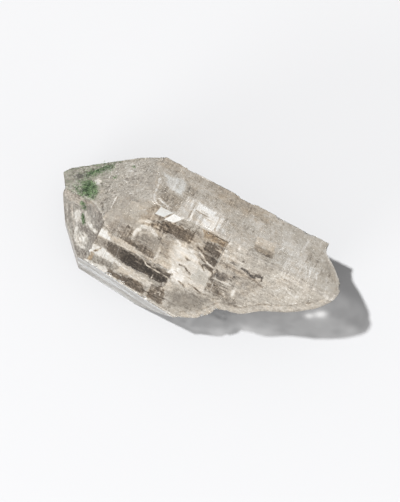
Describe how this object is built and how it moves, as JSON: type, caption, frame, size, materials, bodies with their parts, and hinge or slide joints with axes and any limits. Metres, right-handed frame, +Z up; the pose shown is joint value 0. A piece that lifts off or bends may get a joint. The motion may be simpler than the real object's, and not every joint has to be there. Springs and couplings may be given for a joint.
{
  "type": "himalayan chlorite quartz crystal",
  "caption": "Natural clear quartz point lying on its side, with a slanting frosted tip, a broken base and green chlorite grown into one edge.",
  "frame": {"origin": "on the surface the stone rests on, under the middle of its bounding box", "axes": "+X along the crystal's axis from the tip toward the broken base, +Z up, -Y toward the stone's steep near side"},
  "size_m": [0.0858, 0.0384, 0.0294],
  "materials": {
    "clear_quartz": "clear, faintly warm quartz, part frosted, with white healed fractures, smoky patches and green chlorite near the tip"
  },
  "bodies": {
    "root": {"crystal": "clear_quartz"}
  },
  "joints": []
}
